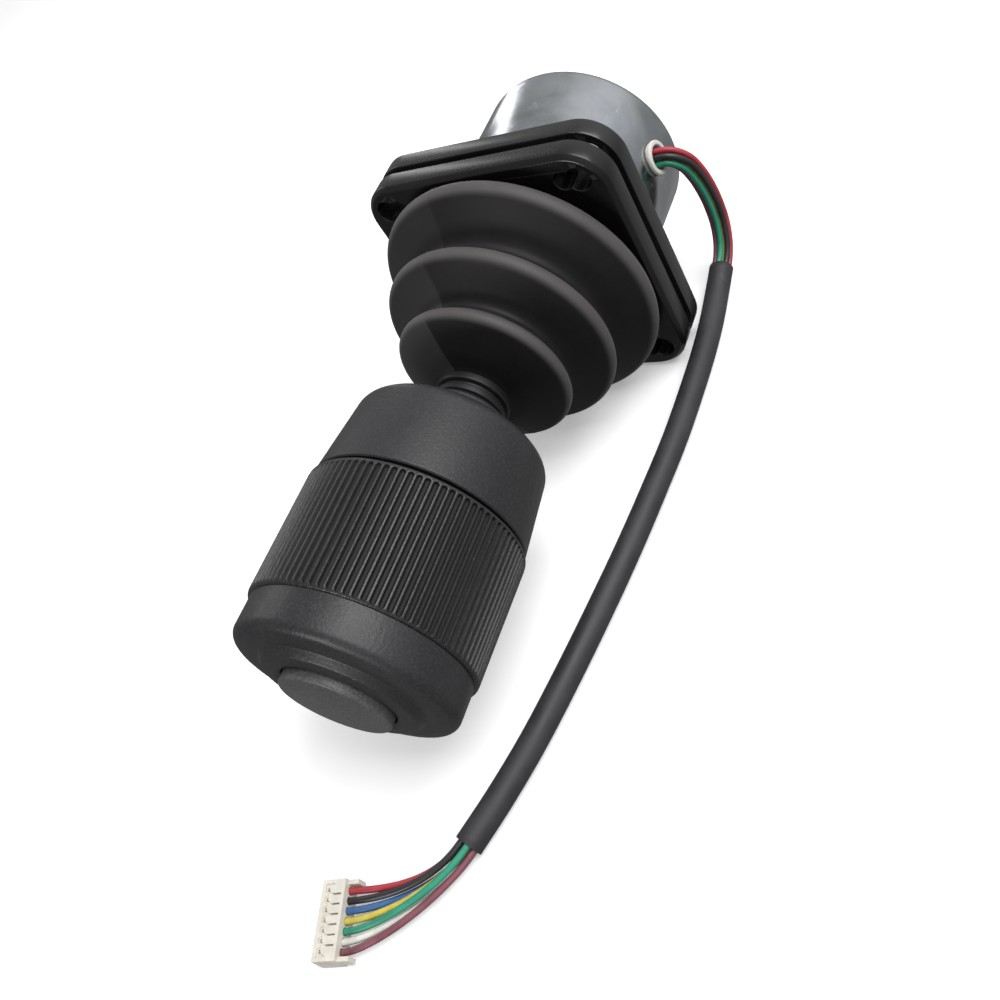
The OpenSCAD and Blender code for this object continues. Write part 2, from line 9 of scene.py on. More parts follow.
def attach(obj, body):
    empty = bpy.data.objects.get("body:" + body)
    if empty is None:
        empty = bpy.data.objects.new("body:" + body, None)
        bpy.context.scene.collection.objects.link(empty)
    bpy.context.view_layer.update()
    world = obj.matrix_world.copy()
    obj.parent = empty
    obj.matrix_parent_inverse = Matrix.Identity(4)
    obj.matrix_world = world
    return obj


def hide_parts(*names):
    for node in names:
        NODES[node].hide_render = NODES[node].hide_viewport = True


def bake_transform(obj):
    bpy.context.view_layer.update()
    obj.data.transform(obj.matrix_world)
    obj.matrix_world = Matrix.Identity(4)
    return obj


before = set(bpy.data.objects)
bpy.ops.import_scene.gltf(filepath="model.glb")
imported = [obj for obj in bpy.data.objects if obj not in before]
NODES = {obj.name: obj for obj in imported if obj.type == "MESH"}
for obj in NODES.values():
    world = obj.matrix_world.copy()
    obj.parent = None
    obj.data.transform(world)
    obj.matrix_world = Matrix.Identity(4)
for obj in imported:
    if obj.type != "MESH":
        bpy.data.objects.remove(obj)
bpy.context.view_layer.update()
scene = bpy.context.scene
RNG = np.random.default_rng(7)

# ---------------------------------------------------------------- frame
# Mechanism frame: millimetres, h runs along the lever from the panel seat
# to the knob. Row frame: metres.


def P(x, y, h):
    return Vector((x / 1000, -h / 1000, y / 1000))


def to_row(pts):
    p = np.asarray(pts, float).reshape(-1, 3)
    return np.stack([p[:, 0], -p[:, 2], p[:, 1]], 1) / 1000


# ---------------------------------------------------------------- camera
F = 1012.62
T = Vector((5.1077, 40.8656, -188.4707))
axis = Vector((0.943668, -0.563828, 0.262620))
RM = Matrix.Rotation(axis.length, 3, axis.normalized())
A = Matrix(((1, 0, 0), (0, 0, -1), (0, 1, 0)))
where = RM.transposed() @ -T
cam_data = bpy.data.cameras.new("camera")
cam = bpy.data.objects.new("camera", cam_data)
scene.collection.objects.link(cam)
cam.matrix_world = (
    Matrix.Translation(P(where.x, where.y, where.z + 9.6))
    @ (A @ RM.transposed()).to_4x4()
)
cam_data.sensor_width = 36
cam_data.lens = 36 * F / 1000
cam_data.clip_start = 0.005
cam_data.clip_end = 20
scene.camera = cam

# ---------------------------------------------------------------- materials


class Nodes:
    """A material's node tree, with short calls."""

    def __init__(self, name):
        self.m = bpy.data.materials.new(name)
        self.m.use_nodes = True
        self.t = self.m.node_tree
        self.b = self.t.nodes["Principled BSDF"]
        self.coord = self.t.nodes.new("ShaderNodeTexCoord").outputs["Object"]

    def new(self, kind, **props):
        n = self.t.nodes.new(kind)
        for k, v in props.items():
            setattr(n, k, v)
        return n

    def link(self, a, b):
        self.t.links.new(a, b)

    def put(self, socket, value):
        if hasattr(value, "is_linked"):
            self.link(value, socket)
        else:
            socket.default_value = value

    def set(self, **values):
        for k, v in values.items():
            self.put(self.b.inputs[k.replace("_", " ")], v)

    def rest(self):
        """Texture coordinates that stay put when the mesh bends."""
        self.coord = self.new("ShaderNodeAttribute", attribute_name="rest").outputs["Vector"]

    def noise(self, scale, detail=3.0, rough=0.55, stretch=None, distort=0.0):
        n = self.new("ShaderNodeTexNoise")
        n.inputs["Scale"].default_value = scale
        n.inputs["Detail"].default_value = detail
        n.inputs["Roughness"].default_value = rough
        n.inputs["Distortion"].default_value = distort
        c = self.coord
        if stretch:
            mp = self.new("ShaderNodeMapping")
            mp.inputs["Scale"].default_value = stretch
            self.link(c, mp.inputs["Vector"])
            c = mp.outputs["Vector"]
        self.link(c, n.inputs["Vector"])
        return n.outputs["Fac"]

    def voronoi(self, scale, feature="F1", out="Color"):
        n = self.new("ShaderNodeTexVoronoi", feature=feature)
        n.inputs["Scale"].default_value = scale
        self.link(self.coord, n.inputs["Vector"])
        return n.outputs[out]

    def ramp(self, x, lo, hi, a=0.0, b=1.0):
        n = self.new("ShaderNodeMapRange", interpolation_type="SMOOTHSTEP")
        self.put(n.inputs["Value"], x)
        n.inputs["From Min"].default_value = lo
        n.inputs["From Max"].default_value = hi
        n.inputs["To Min"].default_value = a
        n.inputs["To Max"].default_value = b
        return n.outputs["Result"]

    def line(self, x, lo, hi, a=0.0, b=1.0):
        n = self.new("ShaderNodeMapRange")
        self.put(n.inputs["Value"], x)
        n.inputs["From Min"].default_value = lo
        n.inputs["From Max"].default_value = hi
        n.inputs["To Min"].default_value = a
        n.inputs["To Max"].default_value = b
        return n.outputs["Result"]

    def math(self, op, a, b=0.0):
        n = self.new("ShaderNodeMath", operation=op)
        self.put(n.inputs[0], a)
        self.put(n.inputs[1], b)
        return n.outputs[0]

    def mix(self, fac, a, b):
        n = self.new("ShaderNodeMix", data_type="RGBA")
        self.put(n.inputs["Factor"], fac)
        self.put(n.inputs[6], a if hasattr(a, "is_linked") else (*a, 1.0)[:4])
        self.put(n.inputs[7], b if hasattr(b, "is_linked") else (*b, 1.0)[:4])
        return n.outputs[2]

    def attr(self, name):
        return self.new("ShaderNodeAttribute", attribute_name=name).outputs["Fac"]

    def xyz(self):
        n = self.new("ShaderNodeSeparateXYZ")
        self.link(self.coord, n.inputs[0])
        return n.outputs

    def bump(self, height, strength, distance, base=None):
        n = self.new("ShaderNodeBump")
        n.inputs["Strength"].default_value = strength
        n.inputs["Distance"].default_value = distance
        self.link(height, n.inputs["Height"])
        if base is not None:
            self.link(base, n.inputs["Normal"])
        return n.outputs["Normal"]


def srgb(r, g, b):
    return tuple((c / 255 / 12.92) if c <= 10 else ((c / 255 + 0.055) / 1.055) ** 2.4 for c in (r, g, b))


def plastic(name, color, rough, grain=2600, grain_depth=0.00004, spread=0.25, spec=0.5, dust=0.0):
    """Moulded plastic with a fine eroded grain, faint mottling and handling marks."""
    n = Nodes(name)
    big = n.noise(70, 4, 0.6)
    fine = n.noise(grain, 2, 0.6)
    marks = n.noise(240, 6, 0.75, distort=1.2)
    light = tuple(min(1, c * (1 + spread)) for c in color)
    dark = tuple(c * (1 - spread) for c in color)
    c = n.mix(n.ramp(big, 0.3, 0.7), dark, light)
    c = n.mix(n.ramp(fine, 0.35, 0.75, 0, 0.35), c, tuple(min(1, x * 1.5 + 0.004) for x in color))
    if dust:
        c = n.mix(n.ramp(marks, 0.62, 0.80, 0, dust), c, srgb(140, 138, 134))
    r = n.math("ADD", n.line(marks, 0.3, 0.7, -0.05, 0.05), n.line(big, 0.3, 0.7, rough - 0.03, rough + 0.03))
    n.set(Base_Color=c, Roughness=r, Normal=n.bump(fine, 0.55, grain_depth))
    n.b.inputs["Specular IOR Level"].default_value = spec
    return n.m


def knob_plastic(name, color, rough):
    """Eroded black plastic: fine grain, faint cloudiness, dust specks and painted shade down in the rib grooves."""
    n = Nodes(name)
    big = n.noise(60, 4, 0.6)
    grain = n.noise(2600, 2, 0.6)
    pits = n.voronoi(1500, "F1", "Distance")
    specks = n.noise(900, 3, 0.8, distort=0.6)
    wipe = n.noise(180, 5, 0.7, stretch=(1, 0.5, 1), distort=1.3)
    c = n.mix(n.ramp(big, 0.3, 0.7), tuple(x * 0.82 for x in color), tuple(x * 1.18 for x in color))
    c = n.mix(n.ramp(grain, 0.42, 0.72, 0, 0.55), c, tuple(x * 2.3 for x in color))
    c = n.mix(n.ramp(wipe, 0.62, 0.8, 0, 0.16), c, srgb(120, 118, 114))
    c = n.mix(n.ramp(specks, 0.70, 0.77, 0, 0.6), c, srgb(150, 147, 140))
    # painted shade: the groove mask darkens the colour nearly to black down in the rib grooves
    c = n.mix(n.math("MULTIPLY", n.attr("groove_shade"), 0.92), c, srgb(8, 7, 8))
    r = n.math("ADD", n.line(wipe, 0.3, 0.7, -0.04, 0.05), n.line(big, 0.3, 0.7, rough - 0.03, rough + 0.04))
    r = n.math("ADD", r, n.math("MULTIPLY", n.attr("groove_shade"), 0.35))
    nb = n.bump(pits, 0.3, 0.00006)
    n.set(Base_Color=c, Roughness=r, Normal=n.bump(grain, 0.75, 0.00006, nb))
    n.b.inputs["Specular IOR Level"].default_value = 0.42
    return n.m


def metal(name, color, rough, brush=None, depth=0.000006, spread=0.08, speck=0.0):
    """Bare or plated metal; brush stretches its scratches along an axis."""
    n = Nodes(name)
    big = n.noise(90, 4, 0.6)
    scratch = n.noise(900, 5, 0.7, stretch=brush) if brush else n.noise(1400, 4, 0.6)
    light = tuple(min(1, c * (1 + spread)) for c in color)
    dark = tuple(c * (1 - spread) for c in color)
    c = n.mix(n.ramp(big, 0.3, 0.7), dark, light)
    if speck:
        c = n.mix(n.ramp(n.noise(500, 3), 0.6, 0.75, 0, speck), c, (0.2, 0.17, 0.13))
    r = n.math("ADD", n.line(scratch, 0.3, 0.7, -0.06, 0.06), n.line(big, 0.3, 0.7, rough - 0.04, rough + 0.06))
    n.set(Base_Color=c, Roughness=r, Normal=n.bump(scratch, 0.4, depth))
    n.b.inputs["Metallic"].default_value = 1.0
    return n.m


def can_metal():
    """Tinned sheet steel: soft spangle, wiping smudges and a few drawn streaks."""
    n = Nodes("can_steel_mat")
    spang = n.new("ShaderNodeSeparateColor")
    n.link(n.voronoi(170, "SMOOTH_F1"), spang.inputs[0])
    sp = spang.outputs[0]
    cloud = n.noise(60, 5, 0.62, distort=0.8)
    smear = n.noise(150, 6, 0.7, stretch=(1, 0.35, 1), distort=1.4)
    fine = n.noise(1500, 4, 0.65, stretch=(1, 0.08, 1))
    base = n.mix(n.ramp(cloud, 0.35, 0.68), srgb(140, 145, 146), srgb(172, 176, 176))
    base = n.mix(n.ramp(sp, 0.15, 0.9, 0, 0.34), base, srgb(192, 198, 212))
    base = n.mix(n.ramp(smear, 0.58, 0.72, 0, 0.7), base, srgb(214, 218, 232))
    r = n.math("ADD", n.line(sp, 0, 1, 0.15, 0.21), n.ramp(smear, 0.5, 0.75, 0, 0.12))
    r = n.math("ADD", r, n.line(fine, 0.3, 0.7, -0.02, 0.02))
    nb = n.bump(cloud, 0.3, 0.00010)
    n.set(Base_Color=base, Roughness=r, Normal=n.bump(fine, 0.25, 0.000012, nb))
    n.b.inputs["Metallic"].default_value = 1.0
    return n.m


def black_paint(name, color, rough, spec):
    """Satin black coat over metal, with slight orange peel and painted highlights on the sharp edges."""
    n = Nodes(name)
    peel = n.noise(420, 3, 0.5)
    fine = n.noise(2400, 2, 0.5)
    cloud = n.noise(60, 4, 0.6)
    c = n.mix(n.ramp(cloud, 0.3, 0.7), tuple(x * 0.8 for x in color), tuple(x * 1.25 for x in color))
    edge_highlight = n.new("ShaderNodeNewGeometry").outputs["Pointiness"]
    # painted highlight: sharp edges, found by pointiness, are painted lighter
    c = n.mix(n.ramp(edge_highlight, 0.53, 0.60, 0, 0.22), c, srgb(90, 90, 94))
    r = n.math("ADD", n.line(cloud, 0.3, 0.7, rough - 0.03, rough + 0.05), n.line(fine, 0.3, 0.7, -0.03, 0.03))
    nb = n.bump(peel, 0.12, 0.00002)
    n.set(Base_Color=c, Roughness=r, Normal=n.bump(fine, 0.10, 0.000006, nb))
    n.b.inputs["Specular IOR Level"].default_value = spec
    return n.m


def boot_rubber():
    """Matt moulded rubber; the crests carry a painted highlight and folds hold a little dust."""
    n = Nodes("boot_rubber_mat")
    n.rest()
    crest_highlight = n.attr("crest_highlight")
    fine = n.noise(1900, 3, 0.6)
    cloud = n.noise(110, 5, 0.65)
    streak = n.noise(300, 5, 0.7, distort=1.0)
    c = n.mix(n.ramp(cloud, 0.3, 0.7), srgb(17, 15, 17), srgb(24, 22, 24))
    # painted reflection: the mould half on one side of the parting line is painted lighter, more so further along the
    # boot
    c = n.mix(n.attr("half"), c, srgb(56, 54, 55))
    # painted highlight: the crest mask, broken up a little by noise, lightens the colour along the crest tops
    c = n.mix(n.math("MULTIPLY", n.ramp(crest_highlight, 0.3, 0.85, 0, 0.85), n.line(cloud, 0.2, 0.8, 0.75, 1.0)), c, srgb(84, 82, 81))
    c = n.mix(n.ramp(streak, 0.64, 0.80, 0, 0.12), c, srgb(90, 88, 84))
    r = n.line(cloud, 0.3, 0.7, 0.50, 0.62)
    n.set(Base_Color=c, Roughness=r, Normal=n.bump(fine, 0.5, 0.00005))
    n.b.inputs["Specular IOR Level"].default_value = 0.26
    n.b.inputs["Sheen Weight"].default_value = 0.10
    n.b.inputs["Sheen Roughness"].default_value = 0.35
    n.b.inputs["Sheen Tint"].default_value = (0.9, 0.9, 0.95, 1)
    return n.m


def insulation(name, color, rough=0.36):
    n = Nodes(name)
    fine = n.noise(1600, 3, 0.6)
    cloud = n.noise(240, 4, 0.6)
    c = n.mix(n.ramp(cloud, 0.3, 0.7), tuple(x * 0.82 for x in color), tuple(min(1, x * 1.15) for x in color))
    c = n.mix(n.ramp(fine, 0.6, 0.8, 0, 0.18), c, tuple(min(1, x * 0.6 + 0.12) for x in color))
    n.set(Base_Color=c, Roughness=n.line(cloud, 0.3, 0.7, rough - 0.05, rough + 0.08), Normal=n.bump(fine, 0.3, 0.00002))
    return n.m


def sleeve_material():
    n = Nodes("sleeve_grey_mat")
    n.rest()
    fine = n.noise(1800, 3, 0.6)
    cloud = n.noise(130, 5, 0.65)
    rings = n.noise(420, 4, 0.6, distort=0.6)
    c = n.mix(n.ramp(cloud, 0.3, 0.7), srgb(38, 37, 40), srgb(50, 49, 52))
    c = n.mix(n.ramp(rings, 0.6, 0.8, 0, 0.3), c, srgb(84, 83, 82))
    nb = n.bump(rings, 0.35, 0.00012)
    n.set(Base_Color=c, Roughness=n.line(cloud, 0.3, 0.7, 0.52, 0.64), Normal=n.bump(fine, 0.5, 0.00004, nb))
    return n.m


def nylon():
    n = Nodes("plug_plastic_mat")
    fine = n.noise(1800, 3, 0.6)
    cloud = n.noise(400, 4, 0.6)
    c = n.mix(n.ramp(cloud, 0.3, 0.7), srgb(206, 201, 190), srgb(220, 216, 206))
    n.set(Base_Color=c, Roughness=n.line(cloud, 0.3, 0.7, 0.38, 0.5), Normal=n.bump(fine, 0.25, 0.00002))
    n.b.inputs["Subsurface Weight"].default_value = 0.25
    n.b.inputs["Subsurface Radius"].default_value = (0.0006, 0.0005, 0.0004)
    n.b.inputs["Subsurface Scale"].default_value = 1.0
    return n.m


MAT = {
    "knob": knob_plastic("knob_plastic_mat", srgb(34, 34, 36), 0.42),
    "button": knob_plastic("button_plastic_mat", srgb(74, 73, 74), 0.42),
    "grip": knob_plastic("grip_plastic_mat", srgb(34, 34, 36), 0.32),
    "inner": plastic("inner_plastic_mat", srgb(23, 23, 25), 0.42, spec=0.35),
    "grommet": plastic("grommet_mat", srgb(205, 203, 194), 0.5, spread=0.06),
    "board": plastic("board_mat", srgb(20, 84, 48), 0.35, spread=0.2),
    "chip": plastic("chip_mat", srgb(28, 28, 29), 0.5),
    "parts": plastic("chip_parts_mat", srgb(170, 158, 132), 0.5),
    "gasket": plastic("gasket_mat", srgb(18, 18, 19), 0.75),
    "plate": black_paint("black_plate_mat", srgb(22, 22, 24), 0.24, 0.5),
    "bezel": black_paint("black_bezel_mat", srgb(14, 12, 14), 0.27, 0.42),
    "boot": boot_rubber(),
    "can": can_metal(),
    "screw": metal("screw_mat", srgb(170, 170, 168), 0.32, speck=0.3),
    "spring": metal("spring_mat", srgb(178, 178, 178), 0.28),
    "pin": metal("pin_mat", srgb(190, 190, 190), 0.22, brush=(1, 0.05, 1)),
    "frame": metal("frame_mat", srgb(165, 165, 166), 0.36, brush=(0.1, 1, 1), speck=0.15),
    "shaft": metal("shaft_mat", srgb(196, 197, 199), 0.3, brush=(1, 8, 1)),
    "brass": metal("brass_mat", srgb(206, 170, 96), 0.3),
    "magnet": metal("magnet_mat", srgb(150, 150, 154), 0.25),
    "sleeve": sleeve_material(),
    "plug": nylon(),
    "wire_red": insulation("wire_red_mat", srgb(168, 52, 62)),
    "wire_black": insulation("wire_black_mat", srgb(40, 38, 42)),
    "wire_blue": insulation("wire_blue_mat", srgb(62, 104, 156)),
    "wire_yellow": insulation("wire_yellow_mat", srgb(206, 190, 84)),
    "wire_green": insulation("wire_green_mat", srgb(44, 140, 112)),
    "wire_white": insulation("wire_white_mat", srgb(212, 212, 204)),
    "wire_brown": insulation("wire_brown_mat", srgb(122, 72, 82)),
}
CAD_MAT = {
    "bezel_screws": "screw", "gimbal_frame": "frame", "frame_screws": "screw", "pivot_bushes": "brass",
    "main_board": "board", "hall_sensor": "chip", "board_parts": "parts", "board_screws": "screw",
    "centring_spring": "spring", "gimbal_ring": "frame", "frame_pins": "pin", "lever_pins": "pin",
    "lever_shaft": "shaft", "lever_hub": "brass", "magnet_holder": "inner", "lever_magnet": "magnet",
    "lever_harness": "wire_black", "spring_seat": "inner", "grub_screw": "screw", "knob_core": "inner",
    "core_screws": "screw", "stop_pin": "pin", "twist_board": "board", "twist_sensor": "chip",
    "switch_board": "board", "switch_body": "chip", "grip_circlip": "spring", "twist_magnet": "magnet",
    "twist_spring": "spring", "switch_plunger": "parts", "button_spring": "spring",
    "plug_contacts": "brass", "gasket": "gasket", "mounting_plate": "plate", "bezel": "bezel",
}


def paint(o, key):
    o.data.materials.clear()
    o.data.materials.append(MAT[key])


for node, key in CAD_MAT.items():
    paint(NODES[node], key)

# ---------------------------------------------------------------- mesh tools


def mesh_object(name, verts, faces, key, smooth=True, sharp=35.0, in_row=False):
    me = bpy.data.meshes.new(name)
    v = np.asarray(verts, float) if in_row else to_row(verts)
    me.from_pydata(v.tolist(), [], faces)
    me.validate()
    bm = bmesh.new()
    bm.from_mesh(me)
    bmesh.ops.recalc_face_normals(bm, faces=bm.faces)
    bm.to_mesh(me)
    bm.free()
    if smooth:
        me.polygons.foreach_set("use_smooth", [True] * len(me.polygons))
        me.set_sharp_from_angle(angle=math.radians(sharp))
    o = bpy.data.objects.new(name, me)
    scene.collection.objects.link(o)
    paint(o, key)
    return o


def fillet(points):
    """A profile of [r, h, radius] corners with each corner rounded by its radius."""
    out, n = [], len(points)
    for i, p in enumerate(points):
        rad = p[2] if len(p) > 2 else 0
        a, b, c = (np.array(points[j % n][:2], float) for j in (i - 1, i, i + 1))
        if rad <= 0 or i in (0, n - 1) and False:
            out.append(tuple(b))
            continue
        u, w = a - b, c - b
        lu, lw = np.linalg.norm(u), np.linalg.norm(w)
        u, w = u / lu, w / lw
        half = math.acos(max(-1, min(1, float(u @ w)))) / 2
        d = min(rad / math.tan(half), 0.49 * lu, 0.49 * lw)
        rr = d * math.tan(half)
        centre = b + (u + w) / np.linalg.norm(u + w) * (rr / math.sin(half))
        s, e = b + u * d - centre, b + w * d - centre
        turn = math.pi - 2 * half
        k = max(2, int(math.degrees(turn) / 9) + 1)
        sign = 1 if s[0] * e[1] - s[1] * e[0] > 0 else -1
        for j in range(k + 1):
            t = sign * turn * j / k
            q = centre + np.array([s[0] * math.cos(t) - s[1] * math.sin(t), s[0] * math.sin(t) + s[1] * math.cos(t)])
            out.append((float(q[0]), float(q[1])))
    return out


def lathe_data(profile, angles=None, n=192, shape=None):
    """Vertices and faces of a closed profile turned round the h axis. shape(r, h, a) may move a point."""
    if angles is None:
        angles = np.arange(n) * 2 * math.pi / n
    n, m = len(angles), len(profile)
    verts, index = [], np.zeros((m, n), int)
    for i, (r, h) in enumerate(profile):
        if r < 1e-6:
            index[i, :] = len(verts)
            verts.append((0, 0, h))
            continue
        for j, a in enumerate(angles):
            rr, hh = shape(r, h, a) if shape else (r, h)
            index[i, j] = len(verts)
            verts.append((rr * math.cos(a), rr * math.sin(a), hh))
    faces = []
    closed = profile[0][0] > 1e-6 or profile[-1][0] > 1e-6
    for i in range(m if closed else m - 1):
        k = (i + 1) % m
        for j in range(n):
            l = (j + 1) % n
            f = [index[i, j], index[i, l], index[k, l], index[k, j]]
            f = [int(x) for q, x in enumerate(f) if x != f[q - 1]]
            if len(set(f)) >= 3:
                faces.append(f)
    return verts, faces


def lathe(name, profile, key, n=192, sharp=35.0, angles=None, shape=None):
    v, f = lathe_data(profile, angles, n, shape)
    return mesh_object(name, v, f, key, sharp=sharp)


def boolean(o, cutter, op="DIFFERENCE", sharp=35.0):
    mod = o.modifiers.new("cut", "BOOLEAN")
    mod.operation, mod.object, mod.solver = op, cutter, "EXACT"
    dg = bpy.context.evaluated_depsgraph_get()
    me = bpy.data.meshes.new_from_object(o.evaluated_get(dg))
    o.modifiers.clear()
    old = o.data
    o.data = me
    me.name = old.name
    me.polygons.foreach_set("use_smooth", [True] * len(me.polygons))
    me.set_sharp_from_angle(angle=math.radians(sharp))
    bpy.data.objects.remove(cutter)
    return o


def add_point_values(o, name, values):
    a = o.data.attributes.get(name) or o.data.attributes.new(name, "FLOAT", "POINT")
    a.data.foreach_set("value", np.asarray(values, np.float32))


def add_rest(o):
    co = np.zeros(len(o.data.vertices) * 3, np.float32)
    o.data.vertices.foreach_get("co", co)
    a = o.data.attributes.new("rest", "FLOAT_VECTOR", "POINT")
    a.data.foreach_set("vector", co)


def mark_groove_shade(o, groove=None):
    """Point values, 1 down in a rib groove and 0 outside: the knob material paints shade into the grooves with them and
    makes the grooves rougher.
    """
    val = np.zeros(len(o.data.vertices), np.float32)
    if groove:
        for i, v in enumerate(o.data.vertices):
            x, y, h = v.co.x * 1000, v.co.z * 1000, -v.co.y * 1000
            r = math.hypot(x, y)
            if r > 17.9 and h > 65.0:
                val[i] = min(1.0, groove(math.atan2(y, x) % (2 * math.pi), h) / 0.45)
    add_point_values(o, "groove_shade", val)


def unit(v):
    return v / np.linalg.norm(v)


def spline(points, step):
    """Points every step along a smooth curve through the given ones (centripetal Catmull-Rom)."""
    p = np.asarray(points, float)
    p = np.vstack([2 * p[0] - p[1], p, 2 * p[-1] - p[-2]])
    out = []
    for i in range(1, len(p) - 2):
        a, b, c, d = p[i - 1:i + 3]
        t0 = 0.0
        t1 = t0 + np.linalg.norm(b - a) ** 0.5
        t2 = t1 + np.linalg.norm(c - b) ** 0.5
        t3 = t2 + np.linalg.norm(d - c) ** 0.5
        k = max(2, int(np.ceil(np.linalg.norm(c - b) / step)))
        for t in np.linspace(t1, t2, k, endpoint=False):
            a1 = (t1 - t) / (t1 - t0) * a + (t - t0) / (t1 - t0) * b
            a2 = (t2 - t) / (t2 - t1) * b + (t - t1) / (t2 - t1) * c
            a3 = (t3 - t) / (t3 - t2) * c + (t - t2) / (t3 - t2) * d
            b1 = (t2 - t) / (t2 - t0) * a1 + (t - t0) / (t2 - t0) * a2
            b2 = (t3 - t) / (t3 - t1) * a2 + (t - t1) / (t3 - t1) * a3
            out.append((t2 - t) / (t2 - t1) * b1 + (t - t1) / (t2 - t1) * b2)
    out.append(p[-2])
    return np.array(out)


def frames_along(p, n0, d0=None, d1=None):
    d = [unit(p[min(i + 1, len(p) - 1)] - p[max(i - 1, 0)]) for i in range(len(p))]
    if d0 is not None:
        d[0] = unit(np.array(d0, float))
    if d1 is not None:
        d[-1] = unit(np.array(d1, float))
    out, n = [], np.array(n0, float)
    for i in range(len(p)):
        n = unit(n - (n @ d[i]) * d[i])
        out.append((d[i], n, np.cross(d[i], n)))
    return out


def tube(name, path, radius, key, n0=(0, 1, 0), sides=16, inner=None, end_round=0.15, profile=None):
    """A closed tube along path; inner makes it hollow. profile(s, a) scales the radius."""
    p = np.asarray(path, float)
    fr = frames_along(p, n0)
    s = np.concatenate([[0], np.cumsum(np.linalg.norm(np.diff(p, axis=0), axis=1))])
    rings = []
    k = len(p)
    outer = [(i, radius, 0.0) for i in range(k)]
    outer = [(0, radius - end_round, 0.0)] + [(0, radius, 0.0)] + outer[1:-1] + [(k - 1, radius, 0.0), (k - 1, radius - end_round, 0.0)]
    if inner:
        order = outer + [(i, inner, 0.0) for i in range(k - 1, -1, -1)]
    else:
        order = outer
    verts, faces = [], []
    for q, (i, r, _) in enumerate(order):
        d, n, b = fr[i]
        shift = 0.0
        if not inner or q < len(outer):
            if q == 1:
                shift = end_round
            if q == len(outer) - 2:
                shift = -end_round
        for j in range(sides):
            a = 2 * math.pi * j / sides
            rr = r * (profile(s[i], a) if profile and r > (inner or 0) else 1.0)
            verts.append(p[i] + d * shift + rr * (n * math.cos(a) + b * math.sin(a)))
    m = len(order)
    for i in range(m if inner else m - 1):
        for j in range(sides):
            l = (j + 1) % sides
            k2 = (i + 1) % m
            faces.append([i * sides + j, i * sides + l, k2 * sides + l, k2 * sides + j])
    if not inner:
        faces.append(list(range(sides)))
        faces.append([(m - 1) * sides + j for j in range(sides)][::-1])
    return mesh_object(name, verts, faces, key, sharp=50)


# ---------------------------------------------------------------- cable
LEAD = np.array([[12.6, 1.9, -21.2], [12.6, 1.9, -19.2], [13.4, 2.1, -17.3], [15.2, 2.4, -16.1],
                 [17.4, 2.75, -15.9], [19.8, 3.1, -15.9], [22.3, 2.8, -16.2], [24.3, 0.6, -17.0],
                 [25.3, -3.2, -17.8], [25.8, -7.4, -18.2], [26.0, -11.6, -18.2], [26.1, -15.4, -17.5],
                 [26.1, -18.6, -15.8], [26.0, -20.5, -13.7], [25.9, -21.4, -11.8]])
SLEEVE = np.array([[25.9, -21.4, -11.8], [26.2, -22.3, -6], [26.8, -22.7, 1], [27.3, -22.7, 9.6],
                   [27.4, -22.7, 19.6], [27.2, -22.7, 29.6], [26.5, -22.7, 39.6], [25.4, -22.7, 52],
                   [23.9, -22.7, 64.5], [22.1, -22.7, 77], [20.1, -22.7, 88.5], [17.8, -22.7, 98],
                   [15.4, -22.7, 106]])
PLUG_AT = np.array([-1.1, -23.25, 121.3])
PLUG_A = math.radians(18.6)
ROW = np.array([math.sin(PLUG_A), 0, math.cos(PLUG_A)])
IN = np.array([-math.cos(PLUG_A), 0, math.sin(PLUG_A)])
GAP = 1.35
HEXA = np.array([[1, 0], [.5, .866], [-.5, .866], [-1, 0], [-.5, -.866], [.5, -.866], [0, 0]])
LEAD_SLOT = [0, 1, 5, 6, 2, 4, 3]
TAIL_SLOT = [3, 2, 4, 6, 1, 5, 0]
COLOURS = ["red", "black", "blue", "yellow", "green", "white", "brown"]
SD = unit(SLEEVE[1] - SLEEVE[0])
TD = unit(SLEEVE[12] - SLEEVE[11])
WIRE_D = 1.1


def bez(a, b, c, d, t):
    return (1 - t) ** 3 * a + 3 * (1 - t) ** 2 * t * b + 3 * (1 - t) * t * t * c + t ** 3 * d


lead_frames = frames_along(LEAD, [0, 1, 0], [0, 0, 1], SD)
sleeve_frames = frames_along(SLEEVE, lead_frames[-1][1], SD, TD)


def wire_path(i):
    s = HEXA[LEAD_SLOT[i]] * GAP
    lead = np.array([p + s[0] * f[1] + s[1] * f[2] for p, f in zip(LEAD, lead_frames)])
    q = HEXA[TAIL_SLOT[i]] * GAP
    off = q[0] * np.array([TD[2], 0, -TD[0]]) + q[1] * np.array([0, 1, 0])
    d, n, b = sleeve_frames[-1]
    e = np.array([off @ n, off @ b])
    inside = []
    for k in range(1, 12):
        t = min(1, max(0, (k - 1) / 10))
        t = t * t * (3 - 2 * t)
        v = (1 - t) * s + t * e
        inside.append(SLEEVE[k] + v[0] * sleeve_frames[k][1] + v[1] * sleeve_frames[k][2])
    p0 = SLEEVE[12] + off
    p3 = PLUG_AT + (i - 3) * 1.5 * ROW
    tail = [bez(p0, p0 + 8 * TD, p3 - 5 * IN, p3, k / 8) for k in range(9)] + [p3 + 1.5 * IN]
    return spline(np.vstack([lead, inside, tail]), 0.7)


def straight_sleeve(s, a):
    """Shrink sleeve: faint ridges where it lies over the wires and a slightly belled cut end."""
    return 1.0 + 0.006 * math.sin(6 * a + s * 0.12) + 0.010 * math.exp(-s / 1.2)


sleeve_path = spline(SLEEVE, 1.2)
sleeve = tube("sleeve", sleeve_path, 2.28, "sleeve", n0=lead_frames[-1][1], sides=32, inner=1.98, end_round=0.12,
              profile=straight_sleeve)
add_rest(sleeve)
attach(sleeve, "housing")
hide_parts("cable_sleeve")


